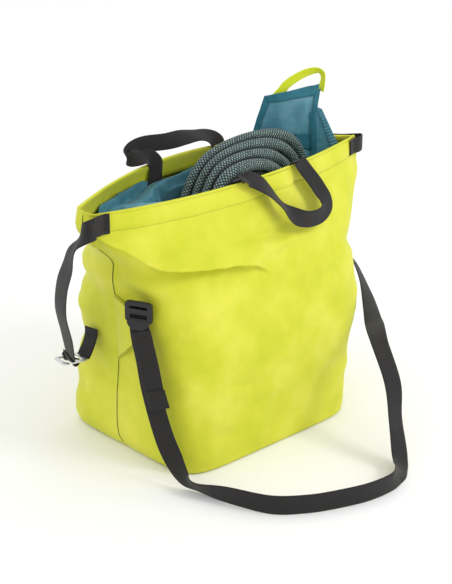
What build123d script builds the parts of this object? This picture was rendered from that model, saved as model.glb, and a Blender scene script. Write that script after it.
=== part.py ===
import os
from math import cos, pi, sin

from build123d import *

# Rope storage bag: a two-panel tote with a boxed base and a folding mouth, holding a coiled rope
# and the tarp that the rope is thrown on. Millimetres, +Z up, +X along the front, +Y to the back.
# The origin is the centre of the base, on the floor.

# Fabric shell
WALL = 2.4
BASE_THICK = 3.0
HEM_TOP = 345.0
HEM_TALL = 30.0
HEM_THICK = 1.6
LAYER_GAP = 0.3
PANEL_POINTS = 14

# Outline of the shell at each height, from the floor to the mouth:
# height, left seam x, right seam x, seam y, front y, back y, corner exponent, bow exponent, tip factor
SHELL_ROWS = [
    (0.0, -132.0, 132.0, 0.0, -107.0, 107.0, 0.34, 0.34, 1.0),
    (50.0, -152.0, 146.0, 0.0, -117.0, 114.0, 0.36, 0.36, 1.0),
    (130.0, -157.0, 152.0, 0.0, -122.0, 116.0, 0.42, 0.42, 1.0),
    (210.0, -158.0, 153.0, -2.0, -120.0, 108.0, 0.50, 0.50, 1.0),
    (270.0, -176.0, 156.0, -18.0, -108.0, 82.0, 0.65, 0.80, 1.3),
    (315.0, -214.0, 180.0, -40.0, -95.0, 56.0, 0.85, 1.50, 2.0),
    (345.0, -238.0, 196.0, -50.0, -86.0, 44.0, 1.00, 2.00, 2.6),
]
MOUTH = SHELL_ROWS[-1]
HEM_ROWS = SHELL_ROWS[-2:]
FRONT, BACK = -1, 1

# Webbing
WEB = 25.0
WEB_THICK = 1.8
PULL_WEB = 10.0
ANCHOR_TALL = 26.0
PATCH_GAP = 0.4

# Rope coil: a stadium-shaped loop of turns standing on edge in the bag
ROPE_X, ROPE_Y = 12.0, -32.0
COIL_BAND = 60.0
COIL_DEEP = 72.0
COIL_WIDE = 216.0
COIL_BOTTOM = 6.0
COIL_TOP = 382.0

# Ladder lock and closure hook
LOCK_WIDE = 33.0
LOCK_THICK = 4.5
LOCK_SLOT = 3.6
HOOK_THICK = 2.4

os.makedirs("parts", exist_ok=True)


def panel_points(row, inset, side, start):
    """Points from the left end of a panel to the right one, inset from the shell's outside."""
    _, left, right, seam, front, back, corner, bow, tip = row
    middle = (left + right) / 2
    half = (right - left) / 2 - inset * tip
    reach = (front + inset if side == FRONT else back - inset) - seam
    points = []
    for step in range(PANEL_POINTS + 1):
        eased = (1 - cos(pi * step / PANEL_POINTS)) / 2
        turn = start + (pi - 2 * start) * eased
        across = cos(turn)
        x = middle - half * abs(across) ** corner * (1 if across > 0 else -1)
        points.append((x, seam + reach * round(sin(turn), 9) ** bow))
    return points


def curved_wall(rows, outside, inside, side, start=0.0):
    """A curved fabric layer between two insets, lofted up through the given rows."""
    with BuildPart() as wall:
        for row in rows:
            with BuildSketch(Plane.XY.offset(row[0])):
                with BuildLine():
                    outer = Spline(panel_points(row, outside, side, start))
                    inner = Spline(panel_points(row, inside, side, start))
                    Line(outer @ 0, inner @ 0)
                    Line(outer @ 1, inner @ 1)
                make_face()
        loft(ruled=True)
    return wall.part


def ribbon(stations, width, thickness):
    """Webbing through stations, each a centre and the direction that its width runs in."""
    centres = [Vector(*centre) for centre, _ in stations]
    last = len(stations) - 1
    with BuildPart() as strip:
        for i, (_, across) in enumerate(stations):
            along = (centres[min(i + 1, last)] - centres[max(i - 1, 0)]).normalized()
            wide = Vector(*across)
            wide = (wide - along * wide.dot(along)).normalized()
            with BuildSketch(Plane(origin=centres[i], x_dir=wide, z_dir=along)):
                Rectangle(width, thickness)
        loft(ruled=True)
    return strip.part


def save(part, name):
    part.label = name
    export_step(part, f"parts/{name}.step")


# ---------------------------------------------------------------- shell

save(curved_wall(SHELL_ROWS, 0.0, WALL, FRONT), "front_panel")
save(curved_wall(SHELL_ROWS, 0.0, WALL, BACK), "back_panel")

with BuildPart() as base_panel:
    inside_wall = WALL + LAYER_GAP
    with BuildSketch(Plane.XY):
        with BuildLine():
            Spline(panel_points(SHELL_ROWS[0], inside_wall, FRONT, 0.0))
            Spline(panel_points(SHELL_ROWS[0], inside_wall, BACK, 0.0))
        make_face()
    extrude(amount=BASE_THICK)
save(base_panel.part, "base_panel")

# Facings folded to the inside of the mouth; they stop short of the pointed ends
HEM_START = 0.42
hem_first = WALL + LAYER_GAP
for side, name in ((FRONT, "front_hem"), (BACK, "back_hem")):
    save(curved_wall(HEM_ROWS, hem_first, hem_first + HEM_THICK, side, HEM_START), name)

# Binding tapes over the inside of the two side seams
TAPE_WIDE, TAPE_THICK, TAPE_GAP = 12.0, 1.0, 0.8
for column, inward, name in ((1, 1, "left_seam_tape"), (2, -1, "right_seam_tape")):
    with BuildPart() as seam_tape:
        for row in SHELL_ROWS[1:4]:
            middle = row[column] + inward * (WALL * row[8] + TAPE_GAP + TAPE_THICK / 2)
            with BuildSketch(Plane.XY.offset(row[0])):
                with Locations((middle, row[3])):
                    Rectangle(TAPE_THICK, TAPE_WIDE)
        loft(ruled=True)
    save(seam_tape.part, name)

# ---------------------------------------------------------------- wings for the shoulder strap

WING_LOW, WING_HIGH = 123.0, 212.0
WING_TIP_LOW, WING_TIP_HIGH = 172.0, 205.0
WING_OUT = 33.0
WING_THICK = 1.6


def wing(seam_x, outward):
    """A flat triangle of doubled fabric that stands out from the seam towards the front."""
    along = Vector(outward * 7.0, -WING_OUT, 0).normalized()
    face = Plane(origin=(seam_x, 0, 0), x_dir=along, z_dir=Vector(0, 0, 1).cross(along) * outward)
    up = 1 if face.y_dir.Z > 0 else -1
    with BuildPart() as triangle:
        with BuildSketch(face):
            with BuildLine():
                Polyline(
                    (0, up * WING_LOW), (WING_OUT, up * WING_TIP_LOW),
                    (WING_OUT, up * WING_TIP_HIGH), (0, up * WING_HIGH), close=True,
                )
            make_face()
        extrude(amount=WING_THICK / 2, both=True)
    return triangle.part


save(wing(-160.2, -1), "left_wing")
save(wing(155.2, 1), "right_wing")

# ---------------------------------------------------------------- sewn webbing on the bag

HEM_FACE = HEM_TOP - HEM_TALL / 2


def mouth_y(x, side):
    """The shell's outside at the mouth, at one x."""
    middle = (MOUTH[1] + MOUTH[2]) / 2
    half = (MOUTH[2] - MOUTH[1]) / 2
    reach = (MOUTH[4] if side == FRONT else MOUTH[5]) - MOUTH[3]
    return MOUTH[3] + reach * (1 - ((x - middle) / half) ** 2)


# Where the legs of each handle are sewn inside the mouth
FRONT_LEGS = (-22.0, 70.0)
BACK_LEGS = (-40.0, 52.0)
LEG_LEAN = 4.0
LEG_INSET = WALL + LAYER_GAP + HEM_THICK + PATCH_GAP + WEB_THICK / 2

for legs, side, name in (
    (FRONT_LEGS, FRONT, "front_handle_ends"),
    (BACK_LEGS, BACK, "back_handle_ends"),
):
    with BuildPart() as handle_ends:
        for x in legs:
            y = mouth_y(x, side) - side * (LEG_INSET + LEG_LEAN)
            with Locations((x, y, HEM_TOP - ANCHOR_TALL / 2 - 1.0)):
                Box(WEB, WEB_THICK, ANCHOR_TALL)
    save(handle_ends.part, name)

# The closure strap is sewn flat across the front of the hem's left end
closure_patch = ribbon(
    [((-199.0, -66.4, HEM_FACE + 3), (0, 0, 1)), ((-229.0, -60.0, HEM_FACE + 3), (0, 0, 1))],
    WEB, WEB_THICK,
)
save(closure_patch, "closure_patch")

# The keeper on the left gusset that the closure hook goes into
gusset_keeper = ribbon(
    [
        ((-160.4, 42, 151), (0, 1, 0)), ((-161.0, 44, 139), (0, 1, 0)),
        ((-162.6, 47, 129), (0, 1, 0)), ((-165, 50, 122), (0, 1, 0)),
    ],
    WEB, WEB_THICK,
)
save(gusset_keeper, "gusset_keeper")

# Webbing folded round the mouth's right end
hem_end_loop = ribbon(
    [
        ((181, -63.0, HEM_FACE), (0, 0, 1)), ((192, -59.0, HEM_FACE), (0, 0, 1)),
        ((201, -54.5, HEM_FACE), (0, 0, 1)), ((203, -50.0, HEM_FACE), (0, 0, 1)),
        ((200, -45.5, HEM_FACE), (0, 0, 1)), ((190, -38.5, HEM_FACE), (0, 0, 1)),
    ],
    WEB, WEB_THICK,
)
save(hem_end_loop, "hem_end_loop")

# ---------------------------------------------------------------- handles

# The front handle is folded over the hem and hangs down the front panel
front_handle = ribbon(
    [
        ((-22, -87, 349.5), (1, 0, 0)), ((-20.5, -93, 346), (1, 0, 0.1)),
        ((-4, -104, 328), (0.9, 0, 0.45)), ((16, -113, 306), (0.75, 0, 0.65)),
        ((38, -121, 284), (0.7, 0, 0.7)), ((64, -124, 271), (0.25, 0, 0.97)),
        ((90, -121, 276), (-0.5, 0, 0.86)), ((102, -112, 296), (-0.9, 0, 0.4)),
        ((94, -101, 320), (-1, 0, -0.2)), ((76, -93, 343), (-1, 0, 0)),
        ((74, -87, 349.5), (-1, 0, 0)),
    ],
    WEB, WEB_THICK,
)
save(front_handle, "front_handle")

# The back handle stands above the hem and leans to the left
back_handle = ribbon(
    [
        ((-41, 39, 351.0), (1, 0, 0)), ((-42, 40, 357), (1, 0, 0.1)),
        ((-62, 42, 361.5), (0.4, 0, 0.9)), ((-84, 41.5, 362), (0, 0, 1)),
        ((-92, 37, 364), (-0.1, 0.1, 1)), ((-84, 32.5, 368), (-0.1, 0, 1)),
        ((-60, 31.5, 374), (-0.2, 0, 1)), ((-28, 32.5, 377), (-0.1, 0, 1)),
        ((0, 34, 375), (0.15, 0, 1)), ((24, 36, 368), (0.5, 0, 0.85)),
        ((44, 38, 360), (0.85, 0, 0.5)), ((51, 38.3, 356), (1, 0, 0.1)),
        ((52, 38.5, 350.5), (1, 0, 0)),
    ],
    WEB, WEB_THICK,
)
save(back_handle, "back_handle")

# ---------------------------------------------------------------- shoulder strap and ladder lock

LOCK_FACE = Plane(origin=(-170.5, -57, 207), x_dir=(0.43, -0.903, 0), z_dir=(-0.903, -0.43, 0))

with BuildPart() as ladder_lock:
    with BuildSketch(LOCK_FACE):
        with Locations((0, 3)):
            RectangleRounded(LOCK_WIDE, 25, 3)
        with Locations((0, -10)):
            RectangleRounded(27, 16, 7)
        with Locations((0, 9), (0, 1)):
            Rectangle(WEB + 1, LOCK_SLOT, mode=Mode.SUBTRACT)
    extrude(amount=LOCK_THICK / 2, both=True)
save(ladder_lock.part, "ladder_lock")

with BuildPart() as lock_loop:
    with BuildSketch(LOCK_FACE.offset(-LOCK_THICK / 2 - PATCH_GAP)):
        with Locations((0, 5)):
            Rectangle(WEB, 16)
    extrude(amount=-WEB_THICK)
save(lock_loop.part, "lock_loop")

# Down past the front left corner, on its edge along the floor, and up to the right side
shoulder_strap = ribbon(
    [
        ((-172, -59, 185), (0.43, -0.9, 0)), ((-171.5, -68.5, 150), (0.43, -0.88, -0.2)),
        ((-170, -82, 113), (0.43, -0.87, -0.25)), ((-168, -98, 66), (0.43, -0.86, -0.28)),
        ((-167, -112, 38), (0.4, -0.88, -0.2)), ((-165, -128, 18), (0.1, -0.95, 0.25)),
        ((-162, -150, 11), (-0.45, -0.5, 0.74)), ((-150, -190, 12.8), (-0.15, -0.1, 0.98)),
        ((-129, -240, 12.8), (0, 0, 1)), ((-98, -267, 12.8), (0, 0, 1)),
        ((-66, -283, 12.8), (0, 0, 1)), ((-25, -297, 12.8), (0, 0, 1)),
        ((12, -300, 12.8), (-0.1, 0, 1)), ((34, -292, 12.4), (-0.5, 0.05, 0.85)),
        ((53, -278, 11), (-0.85, 0.1, 0.5)), ((66, -264, 22), (-0.97, 0.15, 0.2)),
        ((76, -247, 56), (-1, -0.1, 0)), ((92, -226, 92), (-0.97, 0.1, 0)),
        ((113, -182, 128), (-0.95, 0.1, 0)), ((146, -138, 134), (-0.95, -0.3, 0)),
        ((175, -98, 153), (-0.85, -0.55, 0)), ((184, -68, 178), (-0.68, -0.73, 0)),
        ((176, -53, 194), (-0.4, -0.92, 0)), ((165, -47, 202), (-0.2, -0.98, 0)),
    ],
    WEB, WEB_THICK,
)
save(shoulder_strap, "shoulder_strap")

# The strap's free end comes back out of the lock, lies on the strap and is folded and sewn
strap_tail = ribbon(
    [
        ((-175.0, -61.5, 184), (0.43, -0.9, 0)), ((-175.0, -71, 150), (0.43, -0.88, -0.2)),
        ((-174.2, -82, 118), (0.43, -0.87, -0.25)), ((-172.6, -89, 96), (0.43, -0.87, -0.27)),
    ],
    WEB, WEB_THICK,
)
save(strap_tail, "strap_tail")

# ---------------------------------------------------------------- closure strap and hook

closure_strap = ribbon(
    [
        ((-233, -64.0, 334), (0, 0, 1)), ((-243, -58, 330), (0, 0.3, 0.95)),
        ((-246, -38, 314), (0.1, 0.75, 0.65)), ((-244, -20, 288), (0.2, 0.87, 0.45)),
        ((-235, 0, 243), (0.25, 0.9, 0.4)), ((-220, 22, 190), (0.25, 0.92, 0.3)),
        ((-200, 42, 146), (0.27, 0.95, 0.2)), ((-189, 51, 124), (0.28, 0.96, 0.1)),
    ],
    WEB, WEB_THICK,
)
save(closure_strap, "closure_strap")

# A flat hook plate: an open slot to the left, and a closed slot over the keeper
HOOK_FACE = Plane(origin=(-186, 54, 116), x_dir=(0.96, -0.28, 0), z_dir=(0, 0, 1))

with BuildPart() as closure_hook:
    with BuildSketch(HOOK_FACE):
        RectangleRounded(32, 34, 5)
        with Locations((-7, 0)):
            Rectangle(11, WEB + 1, mode=Mode.SUBTRACT)
        with Locations((8, 0)):
            Rectangle(7, WEB + 1, mode=Mode.SUBTRACT)
        with Locations((-7, -15)):
            Rectangle(5, 6, mode=Mode.SUBTRACT)
    extrude(amount=HOOK_THICK / 2, both=True)
save(closure_hook.part, "closure_hook")

# ---------------------------------------------------------------- rope coil

with BuildPart() as rope_coil:
    with BuildLine(Plane(origin=(ROPE_X, ROPE_Y, 0), x_dir=(1, 0, 0), z_dir=(0, -1, 0))) as turn:
        radius = (COIL_WIDE - COIL_BAND) / 2
        low = COIL_BOTTOM + COIL_WIDE / 2
        high = COIL_TOP - COIL_WIDE / 2
        Line((radius, low), (radius, high))
        CenterArc((0, high), radius, 0, 180)
        Line((-radius, high), (-radius, low))
        CenterArc((0, low), radius, 180, 180)
    with BuildSketch(Plane(origin=turn.line @ 0, x_dir=(1, 0, 0), z_dir=turn.line % 0)):
        Ellipse(COIL_BAND / 2, COIL_DEEP / 2)
    sweep()
save(rope_coil.part, "rope_coil")

# ---------------------------------------------------------------- tarp

TARP_ROWS = ((40.0, -140.0), (235.0, -146.0), (316.0, -186.0))
TARP_GAP = 14.5


def tarp_plan(left):
    """The bundle's plan: along the inside of the back, and a lobe on the left of the coil."""
    back = [(x, mouth_y(x, BACK) - TARP_GAP) for x in (left + 14, -100.0, -50.0, 10.0, 74.0)]
    return back + [(74.0, 9.0), (-60.0, 9.0), (-106.0, 2.0), (-106.0, -34.0), (left, -38.0)]


with BuildPart() as tarp:
    for height, left in TARP_ROWS:
        with BuildSketch(Plane.XY.offset(height)):
            with BuildLine():
                Polyline(*tarp_plan(left), close=True)
            make_face()
    loft(ruled=True)
save(tarp.part, "tarp")

# One corner stands up out of the mouth, against the back hem's right half
FLAP_FACE = Plane(origin=(80, 20, 0), x_dir=(0.881, -0.474, 0), z_dir=(-0.474, -0.881, 0))
FLAP_THICK = 3.0

with BuildPart() as tarp_corner:
    with BuildSketch(FLAP_FACE):
        with BuildLine():
            Polyline((3, 351), (24, 401), (94, 411), (102, 378), (120, 351), close=True)
        make_face()
    extrude(amount=FLAP_THICK / 2, both=True)
save(tarp_corner.part, "tarp_corner")

PULL_ENDS = FLAP_FACE.offset(-FLAP_THICK / 2 - PATCH_GAP - WEB_THICK / 2)

with BuildPart() as pull_loop:
    with BuildLine(PULL_ENDS) as loop_line:
        FilletPolyline((30, 398), (60, 424), (92, 430), (106, 412), (94, 392), radius=9)
    with BuildSketch(Plane(origin=loop_line.line @ 0, x_dir=PULL_ENDS.z_dir, z_dir=loop_line.line % 0)):
        Rectangle(WEB_THICK, PULL_WEB)
    sweep()
save(pull_loop.part, "pull_loop")
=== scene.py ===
from math import cos, exp, pi, radians, sin, sqrt, tau

import bpy
from mathutils.kdtree import KDTree
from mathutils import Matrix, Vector, noise


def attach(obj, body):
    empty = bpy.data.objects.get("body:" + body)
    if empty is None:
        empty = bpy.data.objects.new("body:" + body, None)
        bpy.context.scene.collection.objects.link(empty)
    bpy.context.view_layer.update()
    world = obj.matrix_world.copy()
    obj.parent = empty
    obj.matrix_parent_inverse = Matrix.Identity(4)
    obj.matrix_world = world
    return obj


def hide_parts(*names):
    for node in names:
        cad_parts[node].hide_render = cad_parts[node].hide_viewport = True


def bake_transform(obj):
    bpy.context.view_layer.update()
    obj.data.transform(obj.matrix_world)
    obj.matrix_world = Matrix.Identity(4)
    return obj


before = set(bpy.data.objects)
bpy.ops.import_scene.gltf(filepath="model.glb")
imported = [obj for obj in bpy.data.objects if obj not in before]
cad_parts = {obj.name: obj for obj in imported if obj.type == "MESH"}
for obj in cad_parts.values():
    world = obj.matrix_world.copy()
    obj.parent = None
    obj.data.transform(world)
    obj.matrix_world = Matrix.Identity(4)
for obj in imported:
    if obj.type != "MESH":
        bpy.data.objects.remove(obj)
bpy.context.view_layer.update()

# Sizes and places are in millimetres here, and MM turns them into the metres that Blender uses.
MM = 0.001
UP = Vector((0, 0, 1))
FRONT, BACK = -1, 1
SIDE_NAMES = {FRONT: "front", BACK: "back"}


# ---- materials

def new_material(name, colour, roughness, **sockets):
    """A Principled material; any other values go on the shader's sockets of those names."""
    material = bpy.data.materials.new(name)
    material.use_nodes = True
    shader = material.node_tree.nodes["Principled BSDF"]
    shader.inputs["Base Color"].default_value = (*colour, 1)
    shader.inputs["Roughness"].default_value = roughness
    for socket, value in sockets.items():
        shader.inputs[socket.replace("_", " ")].default_value = value
    return material, material.node_tree, shader


def node(tree, kind, inputs=(), **settings):
    """Adds a shader node, sets its properties, then links or sets its inputs by place or name."""
    made = tree.nodes.new(kind)
    for key, value in settings.items():
        setattr(made, key, value)
    for key, value in dict(inputs).items():
        if isinstance(value, bpy.types.NodeSocket):
            tree.links.new(value, made.inputs[key])
        else:
            made.inputs[key].default_value = value
    return made


def ramp(tree, factor, stops):
    """A colour ramp through (place, colour) stops; a plain number is a grey."""
    made = node(tree, "ShaderNodeValToRGB", {0: factor})
    elements = made.color_ramp.elements
    while len(elements) < len(stops):
        elements.new(0.5)
    for element, (place, colour) in zip(elements, stops):
        element.position = place
        element.color = (*colour, 1) if isinstance(colour, tuple) else (colour, colour, colour, 1)
    return made.outputs[0]


def maths(tree, operation, *values):
    return node(tree, "ShaderNodeMath", dict(enumerate(values)), operation=operation).outputs[0]


def mix_colour(tree, factor, first, second, blend="MIX"):
    return node(
        tree, "ShaderNodeMix", {0: factor, 6: first, 7: second}, data_type="RGBA", blend_type=blend
    ).outputs[2]


def object_point(tree, scale=1):
    """Object coordinates in millimetres over scale, so that a weave doesn't depend on UVs."""
    place = node(tree, "ShaderNodeTexCoord").outputs["Object"]
    size = 1 / (MM * scale)
    return node(tree, "ShaderNodeMapping", {0: place, 3: (size, size, size)}).outputs[0]


def cloudy(tree, scale, detail=3, point=None):
    """Noise with a feature size of scale millimetres."""
    point = point or object_point(tree, scale)
    return node(tree, "ShaderNodeTexNoise", {"Vector": point, "Scale": 1, "Detail": detail}).outputs[0]


def bumped(tree, shader, height, distance, strength=1, under=None):
    inputs = {"Height": height, "Distance": distance * MM, "Strength": strength}
    if under is not None:
        inputs["Normal"] = under
    normal = node(tree, "ShaderNodeBump", inputs).outputs[0]
    tree.links.new(normal, shader.inputs["Normal"])
    return normal


def uneven_roughness(tree, shader, factor, low, high):
    rough = node(tree, "ShaderNodeMapRange", {0: factor, 3: low, 4: high}).outputs[0]
    tree.links.new(rough, shader.inputs["Roughness"])


def split_uv(tree):
    """The piece's own U and V, both in millimetres."""
    uv = node(tree, "ShaderNodeUVMap", uv_map="mm").outputs[0]
    parts = node(tree, "ShaderNodeSeparateXYZ", {0: uv})
    return parts.outputs[0], parts.outputs[1]


def ripple(tree, value, pitch):
    """A cosine of value, from 0 to 1, with one crest each pitch."""
    turned = maths(tree, "COSINE", maths(tree, "MULTIPLY", value, tau / pitch))
    return maths(tree, "MULTIPLY_ADD", turned, 0.5, 0.5)


def coated_fabric(name, base, light, dark, weave=0.9, sheen=0.08, ripstop=0):
    """A plain-woven coated fabric: fine yarns both ways, cloudy colour and soft creases."""
    material, tree, shader = new_material(name, base, 0.62, Sheen_Weight=sheen, Sheen_Roughness=0.45,
                                          Specular_IOR_Level=0.32)
    across, along = split_uv(tree)
    yarns = maths(tree, "MULTIPLY", ripple(tree, across, weave), ripple(tree, along, weave))
    colour = ramp(tree, cloudy(tree, 60, 4), [(0.3, dark), (0.5, base), (0.72, light)])
    colour = mix_colour(tree, maths(tree, "MULTIPLY", yarns, 0.16), colour, (*dark, 1))
    height = yarns
    if ripstop:
        lines = maths(
            tree, "MAXIMUM",
            maths(tree, "POWER", ripple(tree, across, ripstop), 24),
            maths(tree, "POWER", ripple(tree, along, ripstop), 24),
        )
        colour = mix_colour(tree, maths(tree, "MULTIPLY", lines, 0.22), colour, (*light, 1))
        height = maths(tree, "ADD", yarns, lines)
    tree.links.new(colour, shader.inputs["Base Color"])
    uneven_roughness(tree, shader, cloudy(tree, 25), 0.5, 0.72)
    creases = bumped(tree, shader, cloudy(tree, 16, 5), 1.4, 0.35)
    bumped(tree, shader, height, 0.12, 0.6, creases)
    return material


def webbing_material(name, base, light, rib=1.15):
    """Woven tape: lengthwise ribs crossed by fine picks."""
    material, tree, shader = new_material(name, base, 0.72, Sheen_Weight=0.12, Sheen_Roughness=0.5,
                                          Specular_IOR_Level=0.3)
    across, along = split_uv(tree)
    ribs = ripple(tree, across, rib)
    slant = maths(tree, "MULTIPLY_ADD", maths(tree, "PINGPONG", across, rib), 0.9, along)
    picks = ripple(tree, slant, 0.9)
    weave = maths(tree, "MULTIPLY_ADD", ribs, 0.65, maths(tree, "MULTIPLY", picks, 0.35))
    worn = cloudy(tree, 22, 4)
    amount = maths(tree, "MULTIPLY", weave, maths(tree, "MULTIPLY_ADD", worn, 0.7, 0.2))
    colour = mix_colour(tree, amount, (*base, 1), (*light, 1))
    tree.links.new(colour, shader.inputs["Base Color"])
    bumped(tree, shader, weave, 0.22, 0.8)
    return material


def moulded_plastic(name, base):
    """Moulded nylon: a fine spark-eroded grain and a soft gloss."""
    material, tree, shader = new_material(name, base, 0.42, Specular_IOR_Level=0.45)
    uneven_roughness(tree, shader, cloudy(tree, 3), 0.34, 0.52)
    bumped(tree, shader, cloudy(tree, 0.6, 2), 0.05, 0.6)
    return material


def brushed_metal(name, base):
    """Stamped steel with fine drawn lines and a few worn, brighter patches."""
    material, tree, shader = new_material(name, base, 0.28, Metallic=1)
    point = node(tree, "ShaderNodeMapping", {0: object_point(tree), 3: (0.15, 3, 3)}).outputs[0]
    lines = cloudy(tree, 1, 4, point)
    uneven_roughness(tree, shader, lines, 0.18, 0.42)
    tree.links.new(ramp(tree, cloudy(tree, 9), [(0.3, tuple(c * 0.82 for c in base)), (0.7, base)]),
                   shader.inputs["Base Color"])
    bumped(tree, shader, lines, 0.03, 0.5)
    return material


ROPE_CARRIERS = 8
ROPE_PICK = 3.8


def rope_material():
    """A two-colour braid: pale flecks in slanting rows over a near-black green sheath, with painted shade
    darkening it in the grooves between turns.
    """
    dark, light = (0.02, 0.033, 0.033), (0.36, 0.48, 0.455)
    material, tree, shader = new_material("rope_sheath", dark, 0.7, Sheen_Weight=0.08, Specular_IOR_Level=0.3)
    around, along = split_uv(tree)
    turns = maths(tree, "MULTIPLY", around, ROPE_CARRIERS)
    steps = maths(tree, "DIVIDE", along, ROPE_PICK)
    rising = ripple(tree, maths(tree, "ADD", turns, steps), 1)
    falling = ripple(tree, maths(tree, "SUBTRACT", turns, steps), 1)
    lumps = maths(tree, "MULTIPLY", rising, falling)
    flecks = node(tree, "ShaderNodeMapRange", {0: lumps, 1: 0.22, 2: 0.42}, clamp=True).outputs[0]
    gone = node(tree, "ShaderNodeMapRange", {0: cloudy(tree, 5), 1: 0.3, 2: 0.55, 3: 0.45}).outputs[0]
    tint = ramp(tree, cloudy(tree, 3), [(0.35, (0.2, 0.31, 0.29)), (0.65, light)])
    colour = mix_colour(tree, maths(tree, "MULTIPLY", flecks, gone), (*dark, 1), tint)
    # Painted shade: the groove mask darkens the braid to near-black where turns of the rope lie against each
    # other
    painted_groove_shade = node(tree, "ShaderNodeAttribute").outputs["Fac"]
    painted_groove_shade.node.attribute_name = "painted_groove_shade"
    shaded = mix_colour(tree, painted_groove_shade, colour, (0.004, 0.007, 0.007, 1))
    tree.links.new(shaded, shader.inputs["Base Color"])
    bumped(tree, shader, lumps, 0.5, 0.8)
    return material


LIME = coated_fabric("lime_fabric", (0.66, 0.675, 0.038), (0.75, 0.735, 0.08), (0.59, 0.62, 0.022))
TARP = coated_fabric(
    "tarp_fabric", (0.065, 0.23, 0.3), (0.16, 0.34, 0.42), (0.022, 0.13, 0.18), 0.7, 0.1, ripstop=5
)
TARP_HEM = coated_fabric(
    "tarp_hem_fabric", (0.015, 0.135, 0.185), (0.03, 0.18, 0.235), (0.008, 0.095, 0.13), 0.7, 0.1
)
BLACK_WEB = webbing_material("black_webbing", (0.007, 0.006, 0.006), (0.032, 0.029, 0.028))
LIME_WEB = webbing_material("lime_webbing", (0.6, 0.7, 0.012), (0.72, 0.78, 0.03), 0.9)
PLASTIC = moulded_plastic("black_plastic", (0.01, 0.01, 0.011))
STEEL = brushed_metal("hook_steel", (0.72, 0.72, 0.71))
ROPE = rope_material()
LIME_THREAD, *_ = new_material("lime_thread", (0.26, 0.3, 0.012), 0.6, Sheen_Weight=0.1)
# Near-black olive for the seams: real stitching, darkened to carry the painted shade of the seams and of the
# wings' edges
SEAM_THREAD_AND_SHADE, *_ = new_material("seam_thread_and_shade", (0.035, 0.045, 0.008), 0.7)
BLACK_THREAD, *_ = new_material("black_thread", (0.03, 0.028, 0.027), 0.55, Sheen_Weight=0.1)
TEAL_THREAD, *_ = new_material("teal_thread", (0.015, 0.08, 0.11), 0.6, Sheen_Weight=0.1)


# ---- meshes

def new_object(name, data):
    made = bpy.data.objects.new(name, data)
    bpy.context.collection.objects.link(made)
    return made


def piece(name, verts, faces, material, body, uvs=None, replaces=()):
    """Makes a mesh from millimetre points, and rides it on its body."""
    mesh = bpy.data.meshes.new(name)
    mesh.from_pydata([Vector(v) * MM for v in verts], [], faces)
    mesh.materials.append(material)
    layer = mesh.uv_layers.new(name="mm")
    if uvs:
        for loop in mesh.loops:
            layer.data[loop.index].uv = uvs[loop.vertex_index]
    mesh.validate()
    mesh.polygons.foreach_set("use_smooth", [True] * len(mesh.polygons))
    made = new_object(name, mesh)
    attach(made, body)
    if replaces:
        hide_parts(*replaces)
    return made


def grid_faces(rows, columns, closed=False):
    """Quads over rows of points; closed joins the last column to the first."""
    faces = []
    for r in range(rows - 1):
        for c in range(columns if closed else columns - 1):
            right = (c + 1) % columns
            low, high = r * columns, (r + 1) * columns
            faces.append((low + c, low + right, high + right, high + c))
    return faces


def run_lengths(points):
    """The distance along a line of points, at each of them."""
    run = [0]
    for a, b in zip(points, points[1:]):
        run.append(run[-1] + (b - a).length)
    return run


def surface(name, rows, columns, at, material, body, replaces=(), flip=False):
    """A grid of fabric: at(row, column) gives each point's place, then its U and V."""
    spots, uvs = zip(*(at(r, c) for r in range(rows + 1) for c in range(columns + 1)))
    faces = grid_faces(rows + 1, columns + 1)
    if flip:
        faces = [face[::-1] for face in faces]
    return piece(name, spots, faces, material, body, uvs, replaces)


def capped_tube(rings, sides):
    """The faces of a tube of rings, closed at both ends."""
    ends = [tuple(reversed(range(sides))), tuple((rings - 1) * sides + c for c in range(sides))]
    return grid_faces(rings, sides, closed=True) + ends


def thicken(made, thickness, offset=-1):
    """Gives a sheet its thickness: inwards, or half each way with an offset of 0."""
    solid = made.modifiers.new("thickness", "SOLIDIFY")
    solid.thickness = thickness * MM
    solid.offset = offset
    return made


def clamp(value):
    return min(max(value, 0), 1)


def smooth_step(low, high, value):
    t = clamp((value - low) / (high - low))
    return t * t * (3 - 2 * t)


def through(points, t):
    """A Catmull-Rom curve through the points, with t from 0 to 1."""
    last = len(points) - 1
    spot = clamp(t) * last
    i = min(int(spot), last - 1)
    f = spot - i
    p0, p1, p2, p3 = (points[min(max(i + k, 0), last)] for k in (-1, 0, 1, 2))
    return 0.5 * (2 * p1 + (p2 - p0) * f + (2 * p0 - 5 * p1 + 4 * p2 - p3) * f * f
                  + (3 * p1 - p0 - 3 * p2 + p3) * f ** 3)


# ---- shell surface

# height, left seam x, right seam x, left seam y, right seam y, front y, back y, corner exponent,
# bow exponent, and half the depth of the blunt left end
SHELL_ROWS = [
    (0, -145, 139, 0, 0, -121, 119, 0.27, 0.28, 0),
    (18, -152, 144, 7, 0, -121, 119, 0.29, 0.31, 0),
    (50, -152, 152, 10, 0, -120, 115, 0.34, 0.36, 0),
    (130, -151, 168, 4.5, -6, -122, 114, 0.42, 0.42, 0),
    (210, -159, 173, -1, -24, -120, 108, 0.5, 0.5, 0),
    (236, -167, 172, -6, -34, -116, 98, 0.56, 0.6, 0),
    (262, -173, 182, -14, -42, -110, 84, 0.64, 0.78, 0),
    (298, -212, 206, -28, -48, -100, 64, 0.78, 1.2, 6),
    (320, -229, 205, -34, -51, -93, 53, 0.9, 1.7, 13),
    (345, -230, 196, -35, -55, -86, 44, 1, 2, 14),
]
HEM_TOP = 345
HEM_STITCH = 322
HEM_DEEP = 25         # how far the facing's stitching is below the mouth
TURN_UNDER = 5        # radius of the shell's bottom edge
COLUMNS = 220
ROWS = 230


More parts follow.
